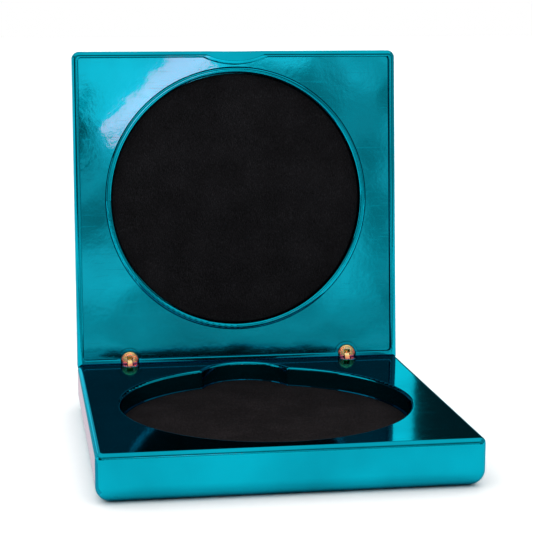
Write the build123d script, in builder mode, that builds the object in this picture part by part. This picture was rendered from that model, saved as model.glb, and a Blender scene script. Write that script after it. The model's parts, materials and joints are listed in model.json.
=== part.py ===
from build123d import *
from math import acos, cos, radians, sin, sqrt
import os

# Square palette case in two halves on two barrel hinges. The base holds a round well with a finger
# lobe and a pad, and the lid holds a framed round pad. Millimetres, +Z up, hinges at the +Y side,
# origin at the middle of the bottom face. The case is drawn open, on the stop its rear edges form.

# Case
case_width = 90.0
case_depth = 88.0
base_height = 11.8
lid_thickness = 6.5
corner_radius = 2.0         # upright corners of both halves
bottom_radius = 4.0         # long lower edges of the base
lid_back_radius = 2.4       # long edges of the lid's outer face
rim_radius = 1.3            # outer edges where the halves meet
fine_radius = 0.3           # small broken edges
side_wall = 1.8
deck_skin = 1.8
lid_skin = 1.6

# Opening
open_angle = 95.0
closing_gap = 0.4           # between deck and lid rim when shut
running_gap = 0.1           # each half's rear edge stays this far from the halfway plane

# Hinges
hinge_spacing = 61.2
hinge_wall = 0.5            # between a barrel and the rear face
barrel_radius = 2.5
base_barrel_length = 6.5
lid_barrel_length = 4.6
barrel_clearance = 0.05     # glue gap round a barrel
boss_wall = 0.8
boss_drop = 0.9             # lid boss below the rim
barrel_end_radius = 0.7
pin_depth = 1.6             # pin axis below each mating face
pin_radius = 0.5
pin_end_gap = 0.3           # between a pin's end and its barrel's side
pin_clearance = 0.05
link_thickness = 1.3
link_end_radius = 1.0
slot_side_clearance = 0.2
slot_end_clearance = 0.2

# Well
well_radius = 36.5
well_offset = -2.5          # well centre from the case centre, along Y
well_depth = 5.0            # deck to pad
well_wall = 1.2
well_floor = 1.1            # under the pad
lobe_radius = 12.7
lobe_reach = 40.1           # far side of the finger lobe, along Y
shoulder_radius = 1.2       # where lobe and well meet
well_edge_radius = 0.7
pad_ledge = 0.4             # the pad's pocket is narrower than the well by this
pad_thickness = 2.0
pad_clearance = 0.2

# Bottom plate and its screws
plate_margin = 4.5          # plate recess from the outer sides
plate_thickness = 1.2
plate_clearance = 0.1
plate_ledge = 2.0
ledge_thickness = 1.2
screw_inset = 9.0           # screw axes from the outer sides
screw_radius = 0.75
screw_clearance = 0.05
screw_head_radius = 1.4
screw_head_sink = 0.1
screw_length = 5.0
screw_boss_radius = 2.2
drive_width = 0.35
drive_depth = 0.4

# Magnets
magnet_radius = 2.5
magnet_thickness = 2.0
magnet_clearance = 0.05
magnet_wall = 1.0
magnet_cover = 0.9          # deck left over a base magnet
magnet_spacing = 56.0
magnet_inset = 7.0          # magnet axes from the front face

# Lid inside
rim_width = 1.7             # front and sides
rear_rim_width = 3.4
panel_drop = 1.1            # rim to panel
panel_thickness = 1.2
panel_clearance = 0.1
panel_ledge = 2.0
panel_corner_radius = 0.8
ring_outer_radius = 36.5
ring_width = 1.7
ring_offset = -3.2          # ring centre from the case centre, along Y
ring_edge_radius = 0.75
ring_rise = 0.5             # ring above the panel
ring_clearance = 0.05
lid_pad_drop = 1.3          # panel to lid pad
lid_pad_clearance = 0.3
scoop_width = 19.5
scoop_reach = 2.6           # thumb scoop, in from the front edge
scoop_depth = 2.5           # at the front face
scoop_bead = 1.1            # left round the scoop
bead_radius = 0.5

# What follows from them
half_open = radians(open_angle / 2)
link_length = 2 * pin_depth + closing_gap
hinge_inset = barrel_radius + hinge_wall
pin_length = 2 * (barrel_radius - pin_end_gap)
hinge_y = case_depth / 2 - hinge_inset
base_pin = Vector(0, hinge_y, base_height - pin_depth)
link_direction = Vector(0, sin(half_open), cos(half_open))
lid_pin = base_pin + link_direction * link_length
lobe_y = lobe_reach - lobe_radius
magnet_y = magnet_inset - case_depth / 2
inner_width = case_width - 2 * rim_width
inner_depth = case_depth - rim_width - rear_rim_width
inner_y = (rim_width - rear_rim_width) / 2
panel_back = panel_drop + panel_thickness
lid_floor = lid_thickness - lid_skin
boss_radius = barrel_radius + boss_wall
slot_width = link_thickness + 2 * slot_side_clearance
plate_top = plate_thickness
cavity_floor = plate_thickness + ledge_thickness
pad_floor = base_height - well_depth - pad_thickness
ring_inner_radius = ring_outer_radius - ring_width
scoop_radius = ((scoop_width / 2) ** 2 + scoop_reach ** 2) / (2 * scoop_reach)
scoop_y = -case_depth / 2 + scoop_reach - scoop_radius
scoop_front = scoop_radius - scoop_reach
scoop_lift = (scoop_radius ** 2 - scoop_front ** 2 - scoop_depth ** 2) / (2 * scoop_depth)
scoop_ball_radius = sqrt(scoop_radius ** 2 + scoop_lift ** 2)
sides = {"left": -1, "right": 1}

# Mating faces: local +z leaves the half, and local +y runs to the hinges. The lid's local x is -X.
deck = Plane.XY.offset(base_height)
lid_out = Vector(0, -sin(radians(open_angle)), -cos(radians(open_angle)))
lid_rearward = lid_out.cross(Vector(-1, 0, 0))
lid_face = Plane(lid_pin - lid_rearward * hinge_y + lid_out * pin_depth, x_dir=(-1, 0, 0), z_dir=lid_out)

os.makedirs("parts", exist_ok=True)


def spot(face, x, y, depth=0.0):
    """Plane parallel to a mating face, at the case's own x and y and some depth into the half."""
    origin = face.from_local_coords(Vector(x * face.x_dir.X, y, -depth))
    return Plane(origin, x_dir=face.x_dir, z_dir=face.z_dir)


def side_view(face, x, y, depth):
    """Plane across the case at one place: local x runs to the hinges and local y leaves the half."""
    return Plane(spot(face, x, y, depth).origin, x_dir=face.y_dir, z_dir=face.x_dir)


def save(part, name):
    """Label a finished piece and write it under its own name."""
    part.label = name
    export_step(part, f"parts/{name}.step")


def hinge_relief(face):
    """What a half loses at its rear edge, so that both halves roll past each other and stop flat."""
    reach = pin_depth + closing_gap / 2 - running_gap
    start = (sqrt(reach ** 2 - pin_depth ** 2), pin_depth)
    halfway = (acos(pin_depth / reach) + half_open) / 2
    middle = (reach * sin(halfway), reach * cos(halfway))
    flat = (reach * sin(half_open), reach * cos(half_open))
    beyond = 2 * hinge_inset
    end = (beyond, (reach - beyond * sin(half_open)) / cos(half_open))
    above = 2 * pin_depth
    with BuildPart() as relief:
        with BuildSketch(side_view(face, 0, hinge_y, pin_depth)):
            with BuildLine():
                ThreePointArc(start, middle, flat)
                Polyline(flat, end, (beyond, above), (start[0], above), start)
            make_face()
        extrude(amount=case_width, both=True)
    return relief.part


def half_block(face, thickness, back_radius):
    """Outer form of one half before it is hollowed."""
    outward = Axis(face.origin, face.z_dir)
    with BuildPart() as block:
        with BuildSketch(face):
            Rectangle(case_width, case_depth)
        extrude(amount=-thickness)
        fillet(block.edges().filter_by(outward), corner_radius)
        fillet(block.faces().sort_by(outward)[0].edges(), back_radius)
        fillet(block.faces().sort_by(outward)[-1].edges(), rim_radius)
        add(hinge_relief(face), mode=Mode.SUBTRACT)
    return block.part


def hinge_pocket(face, length):
    """Both barrel bores of a half, each with the notch that its link swings into."""
    flat_reach = pin_depth + closing_gap / 2 - running_gap
    notch_floor = pin_depth - (flat_reach - hinge_inset * sin(half_open)) / cos(half_open)
    with BuildPart() as pocket:
        for sign in sides.values():
            with BuildSketch(spot(face, sign * hinge_spacing / 2, hinge_y)):
                Circle(barrel_radius + barrel_clearance)
            extrude(amount=-length)
            with BuildSketch(spot(face, sign * hinge_spacing / 2, hinge_y + hinge_inset)):
                Rectangle(slot_width, 2 * hinge_inset)
            extrude(amount=-notch_floor)
    return pocket.part


def lobed_outline(inset):
    """Outline of the well and its finger lobe, drawn smaller by the inset."""
    large = well_radius - inset
    small = lobe_radius - inset
    apart = lobe_y - well_offset
    crossing = (apart ** 2 + large ** 2 - small ** 2) / (2 * apart)
    half_chord = sqrt(large ** 2 - crossing ** 2)
    right = (half_chord, well_offset + crossing)
    left = (-half_chord, well_offset + crossing)
    with BuildSketch() as outline:
        with BuildLine():
            ThreePointArc(left, (0, well_offset - large), right)
            ThreePointArc(right, (0, lobe_y + small), left)
        make_face()
        fillet(outline.vertices(), shoulder_radius)
    return outline.sketch


def hinge_barrel(face, x, length):
    """Slotted barrel with a cross hole for its pin."""
    slot_depth = pin_depth + link_end_radius + slot_end_clearance
    slot_front = link_end_radius + slot_end_clearance
    slot_length = slot_front + 2 * barrel_radius
    with BuildPart() as barrel:
        with BuildSketch(spot(face, x, hinge_y)):
            Circle(barrel_radius)
        extrude(amount=-length)
        outward = Axis(face.origin, face.z_dir)
        chamfer(barrel.faces().sort_by(outward)[0].edges(), fine_radius)
        fillet(barrel.faces().sort_by(outward)[-1].edges(), barrel_end_radius)
        add(hinge_relief(face), mode=Mode.SUBTRACT)
        with BuildSketch(spot(face, x, hinge_y - slot_front + slot_length / 2)):
            Rectangle(slot_width, slot_length)
        extrude(amount=-slot_depth, mode=Mode.SUBTRACT)
        with BuildSketch(side_view(face, x, hinge_y, pin_depth)):
            Circle(pin_radius)
        extrude(amount=2 * barrel_radius, both=True, mode=Mode.SUBTRACT)
    return barrel.part


def hinge_pin(face, x):
    """Plain pin across a barrel."""
    with BuildPart() as pin:
        with BuildSketch(side_view(face, x, hinge_y, pin_depth)):
            Circle(pin_radius)
        extrude(amount=pin_length / 2, both=True)
    return pin.part


def magnet(face, x, depth):
    """Round magnet whose near face is this deep in its half."""
    with BuildPart() as disc:
        with BuildSketch(spot(face, x, magnet_y, depth)):
            Circle(magnet_radius)
        extrude(amount=-magnet_thickness)
        chamfer(disc.edges(), fine_radius / 2)
    return disc.part


# Base: hollow body, closed from below by the bottom plate
screw_x = case_width / 2 - screw_inset
screw_y = case_depth / 2 - screw_inset
base_magnet_back = magnet_cover + magnet_thickness

with BuildPart() as base_cavity:
    with BuildSketch(Plane.XY.offset(cavity_floor)):
        RectangleRounded(case_width - 2 * side_wall, case_depth - 2 * side_wall, corner_radius)
    extrude(amount=base_height - deck_skin - cavity_floor)
    with BuildSketch(deck):
        offset(lobed_outline(0), well_wall)
    extrude(amount=-well_depth - pad_thickness - well_floor, mode=Mode.SUBTRACT)
    with BuildSketch(deck):
        with Locations((-hinge_spacing / 2, hinge_y), (hinge_spacing / 2, hinge_y)):
            Circle(boss_radius)
        with GridLocations(2 * screw_x, 2 * screw_y, 2, 2):
            Circle(screw_boss_radius)
    extrude(amount=-base_height, mode=Mode.SUBTRACT)
    with BuildSketch(deck):
        with Locations((-magnet_spacing / 2, magnet_y), (magnet_spacing / 2, magnet_y)):
            Circle(magnet_radius + magnet_wall)
    extrude(amount=-base_magnet_back, mode=Mode.SUBTRACT)

with BuildPart() as base_shell:
    add(half_block(deck, base_height, bottom_radius))
    add(base_cavity.part, mode=Mode.SUBTRACT)
    with BuildSketch(Plane.XY):
        RectangleRounded(case_width - 2 * plate_margin, case_depth - 2 * plate_margin, corner_radius)
    extrude(amount=plate_thickness, mode=Mode.SUBTRACT)
    with BuildSketch(Plane.XY.offset(plate_top)):
        opening_margin = plate_margin + plate_ledge
        RectangleRounded(case_width - 2 * opening_margin, case_depth - 2 * opening_margin, corner_radius)
        with GridLocations(2 * screw_x, 2 * screw_y, 2, 2):
            Circle(screw_boss_radius, mode=Mode.SUBTRACT)
    extrude(amount=ledge_thickness, mode=Mode.SUBTRACT)
    with BuildSketch(Plane.XY):
        with GridLocations(2 * screw_x, 2 * screw_y, 2, 2):
            Circle(screw_radius + screw_clearance)
    extrude(amount=screw_length + screw_head_sink + ledge_thickness, mode=Mode.SUBTRACT)
    with BuildSketch(deck):
        add(lobed_outline(0))
    extrude(amount=-well_depth, mode=Mode.SUBTRACT)
    with BuildSketch(deck):
        add(lobed_outline(pad_ledge))
    extrude(amount=-well_depth - pad_thickness, mode=Mode.SUBTRACT)
    fillet(base_shell.faces().sort_by(Axis.Z)[-1].inner_wires()[0].edges(), well_edge_radius)
    with BuildSketch(deck.offset(-magnet_cover)):
        with Locations((-magnet_spacing / 2, magnet_y), (magnet_spacing / 2, magnet_y)):
            Circle(magnet_radius + magnet_clearance)
    extrude(amount=-magnet_thickness, mode=Mode.SUBTRACT)
    add(hinge_pocket(deck, base_barrel_length), mode=Mode.SUBTRACT)
save(base_shell.part, "base_shell")

with BuildPart() as bottom_plate:
    plate_inset = plate_margin + plate_clearance
    with BuildSketch(Plane.XY):
        RectangleRounded(case_width - 2 * plate_inset, case_depth - 2 * plate_inset, corner_radius)
    extrude(amount=plate_thickness)
    with Locations(bottom_plate.faces().sort_by(Axis.Z)[0]):
        with GridLocations(2 * screw_x, 2 * screw_y, 2, 2):
            CounterSinkHole(screw_radius + 2 * screw_clearance, screw_head_radius + 2 * screw_clearance)
save(bottom_plate.part, "bottom_plate")

with BuildPart() as bottom_screws:
    for x in (-screw_x, screw_x):
        for y in (-screw_y, screw_y):
            neck = screw_head_sink + screw_head_radius - screw_radius
            with BuildSketch(Plane.XZ.offset(-y)):
                with BuildLine():
                    Polyline(
                        (x, screw_head_sink),
                        (x + screw_head_radius, screw_head_sink),
                        (x + screw_radius, neck),
                        (x + screw_radius, screw_length),
                        (x, screw_length),
                        close=True,
                    )
                make_face()
            revolve(axis=Axis((x, y, 0), (0, 0, 1)))
            with BuildSketch(Plane.XY.offset(screw_head_sink)):
                with Locations((x, y)):
                    Rectangle(2 * screw_radius, drive_width)
                    Rectangle(drive_width, 2 * screw_radius)
            extrude(amount=drive_depth, mode=Mode.SUBTRACT)
save(bottom_screws.part, "bottom_screws")

with BuildPart() as well_pad:
    with BuildSketch(Plane.XY.offset(pad_floor)):
        add(lobed_outline(pad_ledge + pad_clearance))
    extrude(amount=pad_thickness)
save(well_pad.part, "well_pad")

# Lid: shallow tray, with a panel set in behind its rim
lid_magnet_top = lid_floor - magnet_thickness
behind_width = inner_width - 2 * panel_ledge
behind_depth = inner_depth - 2 * panel_ledge

with BuildPart() as lid_shell:
    add(half_block(lid_face, lid_thickness, lid_back_radius))
    with BuildSketch(lid_face):
        with Locations((0, inner_y)):
            RectangleRounded(inner_width, inner_depth, panel_corner_radius)
        with Locations((0, scoop_y)):
            Circle(scoop_radius + scoop_bead, mode=Mode.SUBTRACT)
    extrude(amount=-boss_drop, mode=Mode.SUBTRACT)
    with BuildSketch(lid_face.offset(-boss_drop)):
        with Locations((0, inner_y)):
            RectangleRounded(inner_width, inner_depth, panel_corner_radius)
        with Locations((0, scoop_y)):
            Circle(scoop_radius + scoop_bead, mode=Mode.SUBTRACT)
        with Locations((-hinge_spacing / 2, hinge_y), (hinge_spacing / 2, hinge_y)):
            Circle(boss_radius, mode=Mode.SUBTRACT)
    extrude(amount=boss_drop - panel_back, mode=Mode.SUBTRACT)
    with BuildSketch(lid_face.offset(-panel_back)):
        with Locations((0, inner_y)):
            RectangleRounded(behind_width, behind_depth, panel_corner_radius)
        with Locations((0, scoop_y)):
            Circle(scoop_radius + scoop_bead, mode=Mode.SUBTRACT)
        with Locations((-hinge_spacing / 2, hinge_y), (hinge_spacing / 2, hinge_y)):
            Circle(boss_radius, mode=Mode.SUBTRACT)
        with Locations((-magnet_spacing / 2, magnet_y), (magnet_spacing / 2, magnet_y)):
            Circle(magnet_radius + magnet_wall, mode=Mode.SUBTRACT)
    extrude(amount=panel_back - lid_floor, mode=Mode.SUBTRACT)
    with BuildSketch(lid_face.offset(-panel_back)):
        with Locations((-magnet_spacing / 2, magnet_y), (magnet_spacing / 2, magnet_y)):
            Circle(magnet_radius + magnet_clearance)
    extrude(amount=panel_back - lid_floor, mode=Mode.SUBTRACT)
    lid_outward = Axis(lid_face.origin, lid_face.z_dir)
    fillet(lid_shell.faces().sort_by(lid_outward)[-1].inner_wires()[0].edges(), fine_radius)
    with Locations(spot(lid_face, 0, scoop_y, -scoop_lift)):
        Sphere(scoop_ball_radius, mode=Mode.SUBTRACT)
    fillet(lid_shell.faces().filter_by(GeomType.SPHERE).edges().sort_by(lid_outward)[-1], bead_radius)
    add(hinge_pocket(lid_face, lid_barrel_length), mode=Mode.SUBTRACT)
save(lid_shell.part, "lid_shell")

with BuildPart() as lid_panel:
    panel_width = inner_width - 2 * panel_clearance
    panel_depth = inner_depth - 2 * panel_clearance
    with BuildSketch(lid_face.offset(-panel_drop)):
        with Locations((0, inner_y)):
            RectangleRounded(panel_width, panel_depth, panel_corner_radius)
        with Locations((0, scoop_y)):
            Circle(scoop_radius + scoop_bead + panel_clearance, mode=Mode.SUBTRACT)
        with Locations((-hinge_spacing / 2, hinge_y), (hinge_spacing / 2, hinge_y)):
            Circle(boss_radius + panel_clearance, mode=Mode.SUBTRACT)
        with Locations((0, ring_offset)):
            Circle(ring_outer_radius + ring_clearance, mode=Mode.SUBTRACT)
    extrude(amount=-panel_thickness)
save(lid_panel.part, "lid_panel")

with BuildPart() as lid_ring:
    with BuildSketch(lid_face.offset(-lid_floor)):
        with Locations((0, ring_offset)):
            Circle(ring_outer_radius)
            Circle(ring_inner_radius, mode=Mode.SUBTRACT)
    extrude(amount=lid_floor - panel_drop + ring_rise)
    fillet(lid_ring.faces().sort_by(Axis(lid_face.origin, lid_face.z_dir))[-1].edges(), ring_edge_radius)
save(lid_ring.part, "lid_ring")

with BuildPart() as lid_pad:
    with BuildSketch(lid_face.offset(-lid_floor)):
        with Locations((0, ring_offset)):
            Circle(ring_inner_radius - lid_pad_clearance)
    extrude(amount=lid_floor - panel_drop - lid_pad_drop)
save(lid_pad.part, "lid_pad")

# Magnets and hinges, one of each per side
for side, sign in sides.items():
    hinge_x = sign * hinge_spacing / 2
    magnet_x = sign * magnet_spacing / 2
    save(magnet(deck, magnet_x, magnet_cover), f"base_magnet_{side}")
    save(magnet(lid_face, magnet_x, lid_magnet_top), f"lid_magnet_{side}")
    save(hinge_barrel(deck, hinge_x, base_barrel_length), f"base_barrel_{side}")
    save(hinge_barrel(lid_face, hinge_x, lid_barrel_length), f"lid_barrel_{side}")
    save(hinge_pin(deck, hinge_x), f"base_pin_{side}")
    save(hinge_pin(lid_face, hinge_x), f"lid_pin_{side}")
    with BuildPart() as hinge_link:
        with BuildSketch(Plane(base_pin + Vector(hinge_x, 0, 0), x_dir=link_direction, z_dir=(1, 0, 0))):
            with Locations((link_length / 2, 0)):
                SlotCenterToCenter(link_length, 2 * link_end_radius)
            with Locations((0, 0), (link_length, 0)):
                Circle(pin_radius + pin_clearance, mode=Mode.SUBTRACT)
        extrude(amount=link_thickness / 2, both=True)
    save(hinge_link.part, f"hinge_link_{side}")
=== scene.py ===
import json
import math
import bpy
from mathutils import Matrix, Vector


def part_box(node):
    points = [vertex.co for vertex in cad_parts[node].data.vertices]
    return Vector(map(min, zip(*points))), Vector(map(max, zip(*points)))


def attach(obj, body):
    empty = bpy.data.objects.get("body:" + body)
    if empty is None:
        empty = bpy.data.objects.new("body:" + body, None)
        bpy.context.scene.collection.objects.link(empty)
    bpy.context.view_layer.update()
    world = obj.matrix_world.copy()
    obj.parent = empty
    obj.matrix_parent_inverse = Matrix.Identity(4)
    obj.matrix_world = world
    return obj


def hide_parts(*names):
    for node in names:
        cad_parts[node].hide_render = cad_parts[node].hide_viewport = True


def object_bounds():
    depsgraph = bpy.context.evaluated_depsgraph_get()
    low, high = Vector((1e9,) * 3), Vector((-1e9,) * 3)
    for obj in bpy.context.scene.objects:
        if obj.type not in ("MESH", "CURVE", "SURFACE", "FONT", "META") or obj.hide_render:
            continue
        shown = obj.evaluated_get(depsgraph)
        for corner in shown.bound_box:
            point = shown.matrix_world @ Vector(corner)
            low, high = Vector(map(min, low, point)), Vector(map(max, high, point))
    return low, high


bl_info = {
    "name": "Hinged Palette Case",
    "version": (1, 0, 0),
    "blender": (4, 5, 0),
    "location": "View3D > Sidebar > Palette Case",
    "description": "Finishes, pads and a small studio for a metallised palette case on barrel hinges",
    "category": "Object",
}

import bpy
from bpy.props import FloatProperty, FloatVectorProperty, IntProperty, PointerProperty
from mathutils import Matrix, Quaternion, Vector, noise

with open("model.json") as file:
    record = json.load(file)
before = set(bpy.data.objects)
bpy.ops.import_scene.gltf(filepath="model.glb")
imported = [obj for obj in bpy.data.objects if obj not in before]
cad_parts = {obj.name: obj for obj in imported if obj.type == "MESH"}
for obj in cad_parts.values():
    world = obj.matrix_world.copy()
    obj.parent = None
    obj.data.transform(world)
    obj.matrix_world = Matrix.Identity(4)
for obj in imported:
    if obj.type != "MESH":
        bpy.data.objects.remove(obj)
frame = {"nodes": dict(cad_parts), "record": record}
CAD_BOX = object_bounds()

MM = 0.001
CASE_NODES = ("base_shell", "lid_shell", "lid_ring")
BARRELS = ("base_barrel_left", "base_barrel_right", "lid_barrel_left", "lid_barrel_right")
LINKS = ("hinge_link_left", "hinge_link_right")
PINS = ("base_pin_left", "base_pin_right", "lid_pin_left", "lid_pin_right")
MAGNETS = ("base_magnet_left", "base_magnet_right", "lid_magnet_left", "lid_magnet_right")

JOINTS = {joint["name"]: joint for joint in frame["record"]["behaviour"]["joints"]}
HALF_OPEN = math.radians(JOINTS["lid_swing"]["range_deg"][1])
OPEN_ANGLE = 2 * HALF_OPEN
LID_OUT = Vector((0, -math.sin(OPEN_ANGLE), -math.cos(OPEN_ANGLE)))
DECK_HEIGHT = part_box("base_shell")[1][2]

WHITE = (1, 1, 1)
UP, TO_FRONT, TO_BACK, TO_LEFT, TO_RIGHT = (0, 0, 1), (0, -1, 0), (0, 1, 0), (-1, 0, 0), (1, 0, 0)
LUMP_SIZE = 6 * MM
FINE_LUMP_SIZE = 2 * MM
FINE_LUMP_LAYER = 9
FINE_LUMP_SHARE = 0.5
EDGE_ROLL_STEPS = 5
LID_OVERLAP_SHARE = 0.7
FRONT_FADE = (0.38, 0.74)
BACK_FADE = (0.05, 0.45)
SUN_ANGLE = math.radians(110)
SUN_TILT = (math.radians(12), math.radians(-14), 0)
FLOOR_SIZE = 8
FLOOR_GAP = 0.05 * MM
CARD_HEIGHT = 0.3 * MM
SENSOR_WIDTH = 36
CLIP_START, CLIP_END = 0.01, 50


# ---------------------------------------------------------------- settings

def colour(name, description, default):
    """A colour a user can pick."""
    return FloatVectorProperty(
        name=name, description=description, subtype="COLOR", size=3, min=0, max=1, default=default)


def length(name, description, default):
    """A length in metres a user can set."""
    return FloatProperty(name=name, description=description, unit="LENGTH", precision=5, default=default)


def share(name, description, default):
    """A share from 0 to 1 a user can set."""
    return FloatProperty(name=name, description=description, subtype="FACTOR", min=0, max=1, default=default)


class FinishSettings(bpy.types.PropertyGroup):
    """Colours and surface of the hard parts"""
    tint: colour("Tint", "Colour of the metallised lacquer", (0.0, 0.345, 0.462))
    tint_deep: colour("Deep tint", "Colour where the lacquer lies thicker", (0.0, 0.255, 0.345))
    roughness: share("Roughness", "Roughness of the metal under the lacquer", 0.07)
    coat: share("Clear coat", "Weight of the clear coat on the shells", 0.03)
    panel_coat: share("Panel coat", "Weight of the clear coat on the lid's panel", 0.09)
    edge_tint: colour("Edge tint", "Tint of the metal seen at a low angle", (0.0, 0.50, 0.56))
    peel_size: length("Peel size", "Spacing of the orange peel in the lacquer", 1.3 * MM)
    peel_height: length("Peel height", "Height of the orange peel", 0.0045 * MM)
    wave_size: length("Wave size", "Spacing of the long waves of the moulding", 13 * MM)
    wave_height: length("Wave height", "Height of the long waves", 0.065 * MM)
    # Hinge colours: the plating's own gold, copper and lilac, laid out by position as a painted sheen, with a
    # painted pale-gold highlight in the middle and copper toward the rim
    highlight_gold: colour("Pale gold", "Brightest colour of the hinge plating", (1.0, 0.86, 0.46))
    gold: colour("Gold", "Main colour of the hinge plating", (0.78, 0.53, 0.20))
    copper: colour("Copper", "Colour of the hinge plating at its rim", (0.66, 0.17, 0.12))
    # Height above the deck of the middle of the painted highlight
    highlight_lift: length("Gold lift", "Height of the brightest plating above the deck", 1.8 * MM)
    lilac: colour("Lilac", "Colour of the hinge plating near the deck", (0.62, 0.40, 0.66))
    steel: colour("Steel", "Colour of pins and screws", (0.56, 0.56, 0.58))
    nickel: colour("Nickel", "Colour of the magnets", (0.70, 0.68, 0.64))


class PadSettings(bpy.types.PropertyGroup):
    """Shape and colour of the two soft pads"""
    well_black: colour("Well pad", "Colour of the pad in the base", (0.0076, 0.0062, 0.0067))
    lid_black: colour("Lid pad", "Colour of the pad in the lid", (0.0075, 0.0074, 0.0084))
    lobe_radius: length("Lobe radius", "Radius of the finger lobe of the well pad", 12.1 * MM)
    overlap: length("Overlap", "How far the soft edge spreads past the pad's solid", 0.3 * MM)
    edge_radius: length("Edge radius", "Rounding of a pad's edge", 0.45 * MM)
    crown: length("Crown", "How far a pad's middle stands proud of its edge", 0.12 * MM)
    lump: length("Lumps", "Height of the soft unevenness", 0.05 * MM)
    rings: IntProperty(
        name="Rings", description="Rings of faces from the middle to the edge", min=8, default=72)
    spokes: IntProperty(name="Spokes", description="Faces round the edge", min=24, default=288)


class StudioSettings(bpy.types.PropertyGroup):
    """Camera, light and floor"""
    eye: FloatVectorProperty(name="Eye", description="Camera position", subtype="TRANSLATION", unit="LENGTH",
                             size=3, default=(-62.3 * MM, -380.4 * MM, 111.9 * MM))
    yaw: FloatProperty(name="Yaw", description="Camera heading, clockwise from +Y", subtype="ANGLE",
                       default=math.radians(8.40))
    pitch: FloatProperty(name="Pitch", description="Camera tilt below level", subtype="ANGLE",
                         default=math.radians(8.79))
    lens: FloatProperty(name="Lens", description="Focal length in millimetres", min=1, default=105.8)
    shift: FloatVectorProperty(name="Shift", description="Lens shift", size=2, default=(0.05, -0.05))
    floor: colour("Floor", "Colour of the floor", (0.88, 0.88, 0.88))
    sky_light: FloatProperty(name="Sky", description="Strength of the light from above", min=0, default=1.15)
    front_light: FloatProperty(
        name="Front", description="Strength of the light from the front", min=0, default=0.10)
    sun_light: FloatProperty(name="Sun", description="Strength of the wide soft sun", min=0, default=1.9)


# ---------------------------------------------------------------- node helpers

def put(tree, kind, inputs=None, **attributes):
    """Adds a node, sets its attributes, and sets or links its inputs."""
    made = tree.nodes.new(kind)
    for key, value in attributes.items():
        setattr(made, key, value)
    for key, value in (inputs or {}).items():
        if isinstance(value, bpy.types.NodeSocket):
            tree.links.new(value, made.inputs[key])
        else:
            made.inputs[key].default_value = value
    return made


def opaque(rgb):
    """A colour with full alpha."""
    return (*rgb, 1.0)


def ramp(tree, factor, stops):
    """Colour ramp from a list of (place, colour)."""
    made = put(tree, "ShaderNodeValToRGB", {"Fac": factor})
    elements = made.color_ramp.elements
    while len(elements) < len(stops):
        elements.new(0.5)
    for element, (place, rgb) in zip(elements, stops):
        element.position = place
        element.color = opaque(rgb)
    return made.outputs["Color"]


def new_material(name, **shader_inputs):
    """A material with one Principled shader, its object coordinates and its tree."""
    material = bpy.data.materials.new(name)
    material.use_nodes = True
    tree = material.node_tree
    shader = tree.nodes["Principled BSDF"]
    for key, value in shader_inputs.items():
        shader.inputs[key.replace("_", " ")].default_value = value
    place = put(tree, "ShaderNodeTexCoord").outputs["Object"]
    return material, tree, shader, place


def cloud(tree, place, size, detail=2.0, stretch=(1, 1, 1)):
    """Noise with features of a given size in metres."""
    scaled = put(tree, "ShaderNodeMapping", {"Vector": place, "Scale": stretch})
    made = put(tree, "ShaderNodeTexNoise", {
        "Vector": scaled.outputs["Vector"], "Scale": 1 / size, "Detail": detail})
    return made.outputs["Fac"]


def span(tree, value, low, high, start=0.0, end=1.0):
    """Maps a value from start..end to low..high, clamped."""
    made = put(tree, "ShaderNodeMapRange", {
        "Value": value, "From Min": start, "From Max": end, "To Min": low, "To Max": high})
    return made.outputs["Result"]


def relief(tree, height, depth, under=None):
    """Bump from a height, stacked on an earlier normal."""
    inputs = {"Height": height, "Distance": depth, "Strength": 1.0}
    if under is not None:
        inputs["Normal"] = under
    return put(tree, "ShaderNodeBump", inputs).outputs["Normal"]


def paint(names, material):
    """Gives CAD nodes a material."""
    for name in names:
        data = frame["nodes"][name].data
        data.materials.clear()
        data.materials.append(material)


# ---------------------------------------------------------------- finishes

def metallised(name, finish, coat, peel_share, wave_share):
    """Metallised moulding under tinted lacquer, with orange peel, long waves, dust and hairlines."""
    depth_size, hairline_size, speck_size = 24 * MM, 0.35 * MM, 0.5 * MM
    material, tree, shader, place = new_material(
        name, Metallic=1.0, Specular_Tint=opaque(finish.edge_tint), Coat_Weight=coat, Coat_Roughness=0.03)
    depth = cloud(tree, place, depth_size, 3.0)
    tint = ramp(tree, span(tree, depth, 0, 1, 0.35, 0.7), [(0.0, finish.tint), (1.0, finish.tint_deep)])
    tree.links.new(tint, shader.inputs["Base Color"])
    hairlines = cloud(tree, place, hairline_size, 1.0, stretch=(0.04, 1, 1))
    specks = cloud(tree, place, speck_size, 2.0)
    scratched = span(tree, hairlines, 0, 0.05, 0.62, 0.72)
    dusty = span(tree, specks, 0, 0.14, 0.70, 0.76)
    worn = put(tree, "ShaderNodeMath", {0: scratched, 1: dusty}, operation="ADD")
    rough = put(tree, "ShaderNodeMath", {0: worn.outputs[0], 1: finish.roughness}, operation="ADD")
    tree.links.new(rough.outputs[0], shader.inputs["Roughness"])
    waves = relief(tree, cloud(tree, place, finish.wave_size, 1.0), finish.wave_height * wave_share)
    peel = relief(tree, cloud(tree, place, finish.peel_size, 2.0), finish.peel_height * peel_share, waves)
    tree.links.new(peel, shader.inputs["Normal"])
    tree.links.new(peel, shader.inputs["Coat Normal"])
    return material


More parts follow.
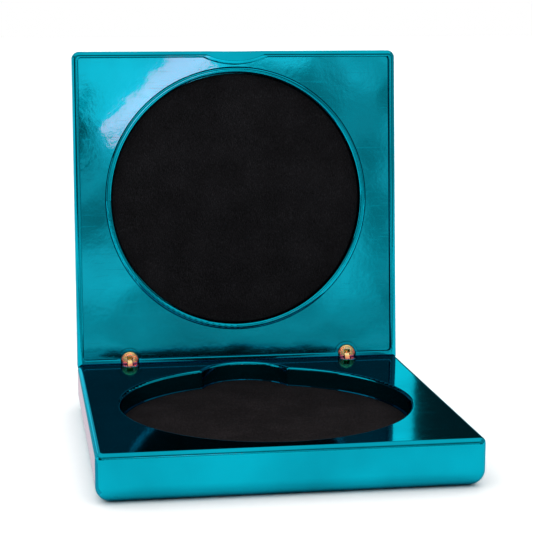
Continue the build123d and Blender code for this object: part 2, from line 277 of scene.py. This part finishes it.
def plating_with_painted_sheen(name, finish, turned_axis, lilac_top):
    """Plating on turned metal in its own iridescent colours, with its sheen painted in by position: a painted
    pale-gold highlight in the middle, copper at the rim, lilac low down.
    """
    blotch_size, mark_size, mark_depth, lilac_fade = 1.0 * MM, 0.16 * MM, 0.003 * MM, 0.9 * MM
    material, tree, shader, place = new_material(name, Metallic=1.0, Coat_Weight=0.3, Coat_Roughness=0.05)
    low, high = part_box("lid_barrel_right")
    # Middle of the painted highlight, mirrored to both hinges
    middle = ((low[0] + high[0]) / 2, 0, DECK_HEIGHT + finish.highlight_lift)
    mirrored = put(tree, "ShaderNodeVectorMath", {0: place}, operation="ABSOLUTE").outputs[0]
    flattened = put(tree, "ShaderNodeVectorMath", {0: mirrored, 1: (1, 0, 1)},
                    operation="MULTIPLY").outputs[0]
    away = put(tree, "ShaderNodeVectorMath", {0: flattened, 1: middle},
               operation="DISTANCE").outputs["Value"]
    blotch = span(tree, cloud(tree, place, blotch_size, 2.0), -0.22, 0.22)
    # Painted sheen: pale gold near the highlight's middle, gold further out, copper at the rim
    outward = span(tree, away, 0, 1, 0, (high[0] - low[0]) / 2)
    mixed = put(tree, "ShaderNodeMath", {0: outward, 1: blotch}, operation="ADD", use_clamp=True)
    painted_sheen_hue = ramp(tree, mixed.outputs[0], [(0.24, finish.highlight_gold), (0.52, finish.gold), (0.84, finish.copper)])
    # Lilac near the deck, the plating's own colour laid by height as part of the painted sheen
    height = put(tree, "ShaderNodeSeparateXYZ", {"Vector": place}).outputs["Z"]
    low_down = span(tree, height, 1, 0, DECK_HEIGHT + lilac_top - lilac_fade, DECK_HEIGHT + lilac_top)
    blended = put(tree, "ShaderNodeMix", {"Factor": low_down}, data_type="RGBA")
    tree.links.new(painted_sheen_hue, blended.inputs["A"])
    blended.inputs["B"].default_value = opaque(finish.lilac)
    tree.links.new(blended.outputs["Result"], shader.inputs["Base Color"])
    marks = cloud(tree, place, mark_size, 1.0, stretch=turned_axis)
    tree.links.new(span(tree, marks, 0.12, 0.34), shader.inputs["Roughness"])
    tree.links.new(relief(tree, marks, mark_depth), shader.inputs["Normal"])
    return material


def plain_metal(name, rgb, roughness):
    """Drawn or plated metal with fine marks."""
    mark_size, mark_depth = 0.2 * MM, 0.004 * MM
    material, tree, shader, place = new_material(name, Metallic=1.0)
    marks = cloud(tree, place, mark_size, 2.0, stretch=(0.2, 1, 1))
    shade = ramp(tree, marks, [(0.3, [part * 0.8 for part in rgb]), (0.7, rgb)])
    tree.links.new(shade, shader.inputs["Base Color"])
    tree.links.new(span(tree, marks, roughness * 0.7, roughness * 1.4), shader.inputs["Roughness"])
    tree.links.new(relief(tree, marks, mark_depth), shader.inputs["Normal"])
    return material


def felt(name, rgb, fibre, sheen):
    """Short matted fibres: two sizes of fibre relief, soft blotches and a little sheen."""
    blotch_size, blotch_depth, fibre_depth = 9 * MM, 0.12 * MM, 0.10 * MM
    material, tree, shader, place = new_material(
        name, Roughness=0.95, Sheen_Weight=sheen, Sheen_Roughness=0.45, Specular_IOR_Level=0.03)
    blotch = cloud(tree, place, blotch_size, 3.0)
    fibres = cloud(tree, place, fibre, 3.0)
    strands = cloud(tree, place, fibre * 0.7, 2.0, stretch=(1, 0.25, 0.25))
    mixed = put(tree, "ShaderNodeMath", {0: fibres, 1: strands}, operation="MULTIPLY")
    fibrous = span(tree, mixed.outputs[0], 0, 0.75, 0.14, 0.40)
    blotched = span(tree, blotch, 0, 0.25, 0.35, 0.7)
    tone = put(tree, "ShaderNodeMath", {0: fibrous, 1: blotched}, operation="ADD")
    shade = ramp(tree, tone.outputs[0], [
        (0.0, [part * 0.35 for part in rgb]), (0.5, rgb), (1.0, [part * 2.3 for part in rgb])])
    tree.links.new(shade, shader.inputs["Base Color"])
    soft = relief(tree, blotch, blotch_depth)
    tree.links.new(relief(tree, mixed.outputs[0], fibre_depth, soft), shader.inputs["Normal"])
    return material


# ---------------------------------------------------------------- pads

def lobed_reach(angle, radius, lobe_distance, lobe_radius):
    """Distance from the well's centre to the edge of a round pad with a finger lobe at +Y."""
    inside = lobe_radius ** 2 - (lobe_distance * math.cos(angle)) ** 2
    toward = lobe_distance * math.sin(angle)
    if toward <= 0 or inside <= 0:
        return radius
    return max(radius, toward + math.sqrt(inside))


def pad_mesh(name, reach, thickness, pads):
    """Closed soft disc lying on z = 0: crowned and lumpy on top, rolled at its edge, flat below."""
    vertices, faces = [], []
    rings, spokes = pads.rings, pads.spokes

    def ring(shrink, height, lumpy):
        for step in range(spokes):
            angle = 2 * math.pi * step / spokes
            far = reach(angle)
            out = (far - pads.edge_radius) * shrink if shrink <= 1 else far - pads.edge_radius * (2 - shrink)
            x, y = out * math.cos(angle), out * math.sin(angle)
            lift = 0.0
            if lumpy:
                lift = pads.crown * (1 - shrink ** 2)
                broad = noise.noise(Vector((x, y, 0)) / LUMP_SIZE)
                fine = noise.noise(Vector((x, y, FINE_LUMP_LAYER)) / FINE_LUMP_SIZE)
                lift += pads.lump * (broad + FINE_LUMP_SHARE * fine)
            vertices.append((x, y, height + lift))

    for index in range(1, rings + 1):
        ring(index / rings, thickness, True)
    for index in range(1, EDGE_ROLL_STEPS + 1):
        turn = math.pi / 2 * index / EDGE_ROLL_STEPS
        ring(1 + math.sin(turn), thickness - pads.edge_radius * (1 - math.cos(turn)), False)
    ring(2, 0.0, False)
    loops = len(vertices) // spokes
    for loop in range(loops - 1):
        for step in range(spokes):
            a, b = loop * spokes + step, loop * spokes + (step + 1) % spokes
            faces.append((a, a + spokes, b + spokes, b))
    top, bottom = len(vertices), len(vertices) + 1
    vertices.append((0, 0, thickness + pads.crown))
    vertices.append((0, 0, 0))
    last = (loops - 1) * spokes
    for step in range(spokes):
        following = (step + 1) % spokes
        faces.append((top, step, following))
        faces.append((bottom, last + following, last + step))
    mesh = bpy.data.meshes.new(name)
    mesh.from_pydata(vertices, [], faces)
    mesh.shade_smooth()
    pad = bpy.data.objects.new(name, mesh)
    bpy.context.scene.collection.objects.link(pad)
    return pad


# ---------------------------------------------------------------- operators

class CASE_OT_metallised_parts(bpy.types.Operator):
    """Give the shells, the panel, the ring and the bottom plate their metallised finish"""
    bl_idname = "case.metallised_parts"
    bl_label = "Metallised Parts"

    def execute(self, context):
        finish = context.scene.case_finish
        paint(CASE_NODES, metallised(
            "metallised_shell", finish, finish.coat, peel_share=0.45, wave_share=0.5))
        paint(("lid_panel",), metallised(
            "metallised_panel", finish, finish.panel_coat, peel_share=1.0, wave_share=1.0))
        paint(("bottom_plate",), metallised(
            "metallised_plate", finish, finish.coat, peel_share=1.6, wave_share=1.2))
        return {"FINISHED"}


class CASE_OT_hinges(bpy.types.Operator):
    """Plate the barrels and links of both hinges in their own colours, laid out as a painted sheen with a
    painted highlight
    """
    bl_idname = "case.hinges"
    bl_label = "Hinges"

    def execute(self, context):
        finish = context.scene.case_finish
        # Both materials carry a painted highlight and painted sheen in the plating's colours
        paint(BARRELS, plating_with_painted_sheen("hinge_barrel_painted_sheen_plating", finish, (1, 1, 0.1), lilac_top=0.7 * MM))
        paint(LINKS, plating_with_painted_sheen("hinge_link_painted_sheen_plating", finish, (1, 0.15, 1), lilac_top=-1.0 * MM))
        return {"FINISHED"}


class CASE_OT_hidden_metal(bpy.types.Operator):
    """Finish the pins, the screws and the magnets"""
    bl_idname = "case.hidden_metal"
    bl_label = "Pins, Screws and Magnets"

    def execute(self, context):
        finish = context.scene.case_finish
        paint(PINS + ("bottom_screws",), plain_metal("drawn_steel", finish.steel, 0.28))
        paint(MAGNETS, plain_metal("nickel_plating", finish.nickel, 0.18))
        return {"FINISHED"}


class CASE_OT_well_pad(bpy.types.Operator):
    """Lay the lobed pad in the well"""
    bl_idname = "case.well_pad"
    bl_label = "Well Pad"

    def execute(self, context):
        pads = context.scene.case_pads
        low, high = (Vector(corner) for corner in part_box("well_pad"))
        radius = (high.x - low.x) / 2
        centre = Vector(((low.x + high.x) / 2, low.y + radius, low.z))
        lobe_radius = pads.lobe_radius + pads.overlap
        lobe_distance = high.y + pads.overlap - lobe_radius - centre.y

        def reach(angle):
            return lobed_reach(angle, radius + pads.overlap, lobe_distance, lobe_radius)

        pad = pad_mesh("well_pad_felt", reach, high.z - low.z, pads)
        pad.data.transform(Matrix.Translation(centre))
        pad.data.materials.append(felt("well_felt", pads.well_black, 0.34 * MM, 0.006))
        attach(pad, "base")
        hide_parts("well_pad")
        return {"FINISHED"}


class CASE_OT_lid_pad(bpy.types.Operator):
    """Set the round pad in the lid's ring"""
    bl_idname = "case.lid_pad"
    bl_label = "Lid Pad"

    def execute(self, context):
        pads = context.scene.case_pads
        low, high = (Vector(corner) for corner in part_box("lid_pad"))
        radius = (high.x - low.x) / 2
        lean = abs(math.cos(OPEN_ANGLE))
        thickness = ((high.y - low.y) - 2 * radius * lean) / math.sin(OPEN_ANGLE)
        back = (low + high) / 2 - LID_OUT * thickness / 2
        edge = radius + pads.overlap * LID_OVERLAP_SHARE
        pad = pad_mesh("lid_pad_felt", lambda angle: edge, thickness, pads)
        across = Vector((-1, 0, 0))
        axes = Matrix((across, LID_OUT.cross(across), LID_OUT)).transposed()
        pad.data.transform(Matrix.Translation(back) @ axes.to_4x4())
        pad.data.materials.append(felt("lid_felt", pads.lid_black, 0.22 * MM, 0.004))
        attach(pad, "lid")
        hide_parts("lid_pad")
        return {"FINISHED"}


def card(name, centre, size, normal, material, turn=0.0, taper=1.0):
    """A flat studio card that shows only in reflections. A taper narrows its lower edge."""
    bpy.ops.mesh.primitive_plane_add(size=1, location=centre)
    made = bpy.context.object
    made.name = name
    for vertex in made.data.vertices:
        if vertex.co.y < 0:
            vertex.co.x *= taper
    made.scale = (*size, 1)
    made.rotation_mode = "QUATERNION"
    made.rotation_quaternion = Quaternion(normal, turn) @ Vector(normal).to_track_quat("Z", "Y")
    made.data.materials.append(material)
    made.visible_camera = False
    made.visible_diffuse = False
    made.visible_shadow = False
    return made


def glow(name, rgb, strength, size=None, low=0.0):
    """Even light, or light in soft clouds of a given size."""
    material = bpy.data.materials.new(name)
    material.use_nodes = True
    tree = material.node_tree
    tree.nodes.clear()
    shine = put(tree, "ShaderNodeEmission", {"Color": opaque(rgb), "Strength": strength})
    if size:
        place = put(tree, "ShaderNodeNewGeometry").outputs["Position"]
        clouded = span(tree, cloud(tree, place, size, 2.0), low, strength, 0.35, 0.62)
        tree.links.new(clouded, shine.inputs["Strength"])
    put(tree, "ShaderNodeOutputMaterial", {"Surface": shine.outputs["Emission"]})
    return material


def studio_world(studio):
    """Pale room, brighter above and behind the case, and darker low at the front."""
    world = bpy.data.worlds.new("studio")
    bpy.context.scene.world = world
    world.use_nodes = True
    tree = world.node_tree
    tree.nodes.clear()
    direction = put(tree, "ShaderNodeTexCoord").outputs["Generated"]
    parts = put(tree, "ShaderNodeSeparateXYZ", {"Vector": direction})
    above = span(tree, parts.outputs["Z"], studio.front_light, studio.sky_light, *FRONT_FADE)
    behind = span(tree, parts.outputs["Y"], 0.0, 1.0, *BACK_FADE)
    both = put(tree, "ShaderNodeMath", {0: above, 1: behind}, operation="MAXIMUM")
    lit = put(tree, "ShaderNodeBackground", {"Color": opaque(WHITE), "Strength": both.outputs[0]})
    seen = put(tree, "ShaderNodeBackground", {"Color": opaque(WHITE), "Strength": 1.0})
    direct = put(tree, "ShaderNodeLightPath").outputs["Is Camera Ray"]
    mixed = put(tree, "ShaderNodeMixShader", {0: direct, 1: lit.outputs[0], 2: seen.outputs[0]})
    put(tree, "ShaderNodeOutputWorld", {"Surface": mixed.outputs[0]})


def soft_sun(studio):
    """Wide sun that lights the floor evenly and shows in no reflection."""
    data = bpy.data.lights.new("soft_sun", "SUN")
    data.energy = studio.sun_light
    data.angle = SUN_ANGLE
    made = bpy.data.objects.new("soft_sun", data)
    made.rotation_euler = SUN_TILT
    made.visible_glossy = False
    bpy.context.scene.collection.objects.link(made)


class CASE_OT_studio(bpy.types.Operator):
    """Set up the floor, the light, the reflection cards and the camera"""
    bl_idname = "case.studio"
    bl_label = "Studio"

    def execute(self, context):
        studio = context.scene.case_studio
        context.scene.view_settings.view_transform = "Standard"
        studio_world(studio)

        bpy.ops.mesh.primitive_plane_add(size=FLOOR_SIZE, location=(0, 0, CAD_BOX[0].z - FLOOR_GAP))
        floor = context.object
        floor.name = "floor"
        material, tree, shader, place = new_material("pale_floor", Roughness=0.75, Specular_IOR_Level=0.2)
        grain = cloud(tree, place, 2 * MM, 3.0)
        pale = ramp(tree, grain, [(0.3, [part * 0.985 for part in studio.floor]), (0.7, studio.floor)])
        tree.links.new(pale, shader.inputs["Base Color"])
        tree.links.new(relief(tree, grain, 0.01 * MM), shader.inputs["Normal"])
        floor.data.materials.append(material)

        soft_sun(studio)

        card("front_floor_card", (0.0, -0.62, CARD_HEIGHT), (1.6, 0.92), UP,
             glow("front_floor_glow", WHITE, 0.95, 0.05, 0.22))
        card("front_card", (0.05, -1.06, 0.15), (1.4, 0.34), TO_BACK,
             glow("front_glow", WHITE, 1.15, 0.07, 0.30))
        card("corner_card", (0.01, -0.9, 0.235), (0.14, 0.13), TO_BACK,
             glow("corner_glow", WHITE, 1.45))
        card("softbox_card", (0.064, -0.85, 0.192), (0.046, 0.118), TO_BACK,
             glow("softbox_glow", (1.0, 0.027, 0.030), 80.0), turn=math.radians(45), taper=0.3)
        card("left_floor_card", (-0.0605, 0.047, CARD_HEIGHT), (0.030, 0.185), UP,
             glow("left_floor_glow", (1.0, 0.68, 0.73), 1.25))
        card("left_back_card", (-0.28, 1.2, 0.14), (0.17, 0.30), TO_FRONT,
             glow("left_back_glow", WHITE, 2.0))
        card("scoop_card", (0.150, -0.84, 0.231), (0.085, 0.042), TO_BACK,
             glow("scoop_glow", WHITE, 1.6))
        card("dark_flag_card", (-0.013, -0.84, 0.158), (0.032, 0.062), TO_BACK,
             glow("dark_flag", WHITE, 0.03))
        card("left_card", (-0.9, -0.02, 0.14), (0.5, 0.5), TO_RIGHT,
             glow("left_glow", WHITE, 1.35))
        card("front_high_card", (0.0, -1.5, 0.95), (3.2, 1.2), TO_BACK,
             glow("front_high_glow", WHITE, 0.62, 0.5, 0.30))
        card("front_dark_card", (0.18, -1.0, 0.46), (0.60, 0.28), TO_BACK,
             glow("front_dark", WHITE, 0.16))
        card("right_high_card", (1.6, -0.3, 0.75), (2.4, 2.4), TO_LEFT,
             glow("right_high_glow", WHITE, 0.62, 0.5, 0.30))
        card("back_glow_card", (0.27, 1.2, 0.32), (0.176, 0.6), TO_FRONT,
             glow("back_glow", (0.12, 1.0, 0.94), 2.2))
        card("back_dark_card", (0.83, 1.25, 0.45), (0.92, 0.8), TO_FRONT,
             glow("back_dark", WHITE, 0.04))

        data = bpy.data.cameras.new("camera")
        data.sensor_width = SENSOR_WIDTH
        data.lens = studio.lens
        data.shift_x, data.shift_y = studio.shift
        data.clip_start, data.clip_end = CLIP_START, CLIP_END
        camera = bpy.data.objects.new("camera", data)
        camera.location = studio.eye
        camera.rotation_euler = (math.pi / 2 - studio.pitch, 0, -studio.yaw)
        context.scene.collection.objects.link(camera)
        context.scene.camera = camera
        return {"FINISHED"}


OPERATORS = (CASE_OT_studio, CASE_OT_metallised_parts, CASE_OT_hinges, CASE_OT_hidden_metal,
             CASE_OT_well_pad, CASE_OT_lid_pad)


class CASE_PT_sidebar(bpy.types.Panel):
    """Lists the case's settings and steps"""
    bl_idname = "CASE_PT_sidebar"
    bl_label = "Palette Case"
    bl_space_type = "VIEW_3D"
    bl_region_type = "UI"
    bl_category = "Palette Case"

    def draw(self, context):
        for settings in (context.scene.case_finish, context.scene.case_pads, context.scene.case_studio):
            box = self.layout.box()
            for key in settings.__annotations__:
                box.prop(settings, key)
        for operator in OPERATORS:
            self.layout.operator(operator.bl_idname)


CLASSES = (FinishSettings, PadSettings, StudioSettings, *OPERATORS, CASE_PT_sidebar)


def register():
    for item in CLASSES:
        bpy.utils.register_class(item)
    bpy.types.Scene.case_finish = PointerProperty(type=FinishSettings)
    bpy.types.Scene.case_pads = PointerProperty(type=PadSettings)
    bpy.types.Scene.case_studio = PointerProperty(type=StudioSettings)


def unregister():
    del bpy.types.Scene.case_studio
    del bpy.types.Scene.case_pads
    del bpy.types.Scene.case_finish
    for item in reversed(CLASSES):
        bpy.utils.unregister_class(item)


def main():
    """Register the add-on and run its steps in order."""
    register()
    for operator in OPERATORS:
        category, step = operator.bl_idname.split(".")
        getattr(getattr(bpy.ops, category), step)()


if __name__ == "__main__":
    main()
